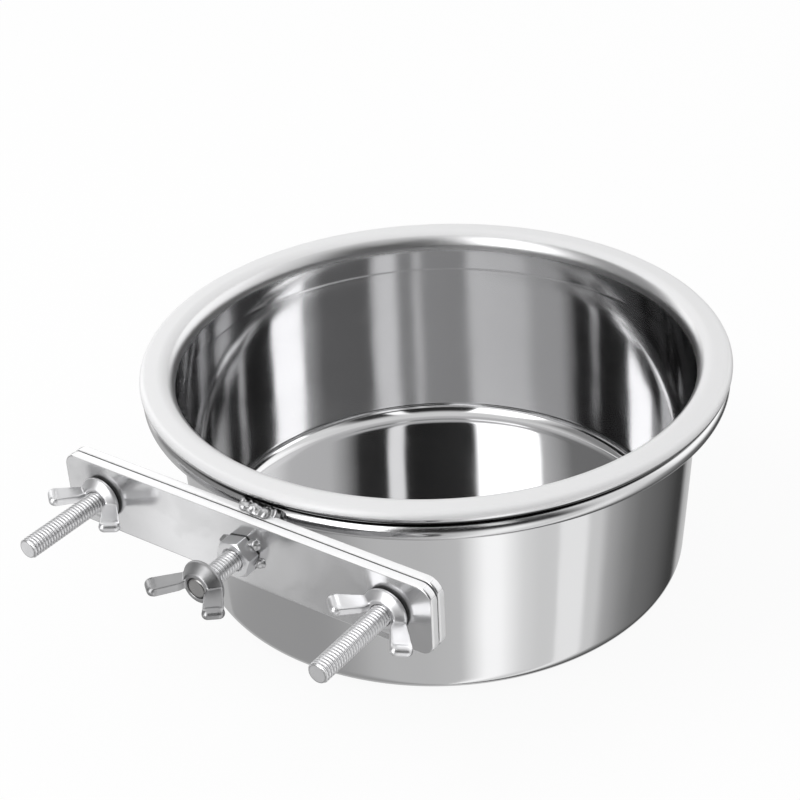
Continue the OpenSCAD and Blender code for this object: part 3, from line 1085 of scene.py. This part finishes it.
def tip_bar():
    """The rounded bar at the end of a wing, upright on its own Z."""
    half = (tip_width - tip_thick) / 2
    ends = arc((0, -half), tip_thick / 2, -90, 0, 8)[1:] + arc((0, half), tip_thick / 2, 0, 90, 8)[:-1]
    outline = [(0, -tip_width / 2)] + ends + [(0, tip_width / 2)]
    return lathe(outline, 32, closed=False)


def winged_boss(height):
    """A boss of this height with two wings, and a bore through it."""
    parts = lathe([
        (0, 0), (boss_radius - foot_in, 0), (boss_radius, foot_height), (boss_radius, waist_height),
        (boss_end_radius, height), (0, height)], 64, closed=False)
    lean = math.atan2(wing_rise + height / 2, wing_reach - boss_end_radius)
    tip_turn = Matrix.Rotation(math.pi - lean, 4, "Y")
    tip_place = Matrix.Translation((wing_reach, 0, height + wing_rise)) @ tip_turn
    for side in (0, math.pi):
        around_axis = Matrix.Rotation(side, 4, "Z")
        lay_in(parts, slab(wing_outline(height, lean), wing_thick), around_axis)
        lay_in(parts, tip_bar(), around_axis @ tip_place)
    cast = fused(to_mesh(parts, "cast"), cast_voxel, cast_rounds)
    return cut_away(cast, bore_tool(nut_bore, height, bore_flare))


print("wings span", 2 * wing_reach + tip_thick, "mm")

# %% [markdown]
# ### Two wing nuts and the screw's head
# All three are nearly the same casting, but the screw's has a higher boss and sits at the screw's outer
# end. Each stands at the angle at which it was last left.

# %% Wing nuts and screw head
nut_seat = plate_face + 0.05
boss_height = 3.2
screw_boss_height = 4.3
screw_seat = screw_out - screw_boss_height


def wing_nut(name, height, place, turn, finish, node):
    """Places one winged boss on its rod; its body has the name of its node."""
    place = place @ Matrix.Rotation(math.radians(turn), 4, "Z")
    return finished(name, winged_boss(height), place, finish, node, [node], sharp=50)


wing_nut("wing_nut_left", boss_height, from_jaw(-stud_x, nut_seat), -7, wing_steel, "left_wing_nut")
wing_nut("wing_nut_right", boss_height, from_jaw(stud_x, nut_seat), -17, wing_steel, "right_wing_nut")
wing_nut("screw_head", screw_boss_height, from_jaw(screw_x, screw_seat), 0, worn_steel, "screw_wing")

# %% [markdown]
# ## The hexagon nut
# A standard nut is cut from a hexagon bar, and its outer corners are turned back by a cone. So it is a
# six-sided bar with softened corners, minus a conical ring, minus a bore that opens at the top.

# %% Hexagon nut
nut_flats = 10.0
nut_height = 4.5
nut_turn = 42
nut_corner = nut_flats / 2 / math.cos(math.pi / 6)
nut_flare = 0.5
cone_slope = math.tan(math.pi / 6)

hexagon = bmesh.new()
bmesh.ops.create_cone(
    hexagon, cap_ends=True, segments=6, radius1=nut_corner, radius2=nut_corner, depth=nut_height)
bmesh.ops.rotate(hexagon, verts=hexagon.verts, matrix=Matrix.Rotation(math.radians(nut_turn), 3, "Z"))
bmesh.ops.translate(hexagon, verts=hexagon.verts, vec=(0, 0, nut_height / 2))
uprights = [e for e in hexagon.edges if abs(e.verts[0].co.z - e.verts[1].co.z) > nut_height / 2]
bmesh.ops.bevel(hexagon, geom=uprights, offset=0.2, segments=3, profile=0.5, affect="EDGES")
corner_ring = lathe([
    (nut_flats / 2 - 1, nut_height + cone_slope),
    (nut_corner + 1, nut_height - cone_slope * (nut_corner + 1 - nut_flats / 2)),
    (nut_corner + 1, nut_height + cone_slope)], 64)
nut_mesh = cut_away(to_mesh(hexagon, "nut"), corner_ring, bore_tool(nut_bore, nut_height, nut_flare))
nut_place = from_jaw(screw_x, plate_face)
finished("hexagon_nut", nut_mesh, nut_place, fastener_steel, "clamp_plate",
    ["centre_nut"], sharp=25)

# %% [markdown]
# ## Welds
# A weld is metal that melted, flowed and froze, so it has soft lumps and ripples and no straight line.
# Balls are laid where the welder stopped, moved a little by a noise that always gives the same answer, and
# fused into one skin.

# %% Helper for welds
lump_depth = 0.5
lump_grain = 1.3
weld_voxel = 0.16
weld_rounds = 4


def weld(name, balls, place, body, node):
    """Fuses balls, each a (centre, radius, squash), into one rough skin."""
    melted = bmesh.new()
    for centre, radius, squash in balls:
        ball = bmesh.new()
        bmesh.ops.create_icosphere(ball, subdivisions=4, radius=radius)
        lay_in(melted, ball, Matrix.Translation(centre) @ Matrix.Diagonal((*squash, 1)))
    melted.normal_update()
    moves = [v.normal * noise.noise(v.co / lump_grain) * lump_depth for v in melted.verts]
    for vert, move in zip(melted.verts, moves):
        vert.co += move
    mesh = fused(to_mesh(melted, name), weld_voxel, weld_rounds)
    return finished(name, mesh, place, weld_metal, body, [node], sharp=80)


print("welds are rough by", lump_depth, "mm")

# %% [markdown]
# ### Welds on the nut
# Four of the nut's six corners are tacked to the plate by one short spot each.

# %% Welds on the nut
spot_radius = 1.6
spots = []
for corner in (0, 2, 3, 5):
    angle = math.radians(nut_turn + 60 * corner)
    centre = (nut_corner * math.cos(angle), nut_corner * math.sin(angle), 0.1)
    spots.append((centre, spot_radius, (1.15, 1, 0.8)))
weld("nut_spots", spots, nut_place, "clamp_plate", "nut_welds")

# %% [markdown]
# ### Welds round the stud heads
# Each head is held by two fillets, above and below, and each fillet is a row of small balls.

# %% Welds round the stud heads
fillet_radius = head_radius + 0.2
fillet_z = -plate_thick - 0.15
fillets = []
for x in (-stud_x, stud_x):
    for side in (-90, 90):
        for step in range(-4, 5):
            angle = math.radians(side + step * 8)
            spot = (x + fillet_radius * math.cos(angle), fillet_radius * math.sin(angle), fillet_z)
            fillets.append((spot, 0.8 + 0.12 * (step % 2), (1, 1, 0.9)))
weld("head_fillets", fillets, from_jaw(0, 0), "holder", "stud_welds")

# %% [markdown]
# ### Welds between hoop and plate
# Three lumps lie on the plate's top edge. Two runs behind the plate, above and below the rod, fill the gap.

# %% Welds between hoop and plate
weld_x = 3.6
lump_radii = [1.7, 1.9, 1.6]
lump_step = 2.9
run_y = plate_thick + 0.7
run_off = 1.45
run_step = 1.05
lumps = []
for i, radius in enumerate(lump_radii):
    centre = (weld_x + (i - 1) * lump_step, plate_thick / 2, (plate_height + radius) / 2)
    lumps.append((centre, radius, (1.25, 0.9, 0.7 + 0.15 * (i % 2))))
for side in (-1, 1):
    for step in range(-5, 6):
        centre = (weld_x + step * run_step, run_y, hoop_z + side * run_off)
        lumps.append((centre, 1.55 + 0.12 * (step % 2), (0.8, 1, 1)))
weld("hoop_bead", lumps, Matrix(), "holder", "hoop_welds")
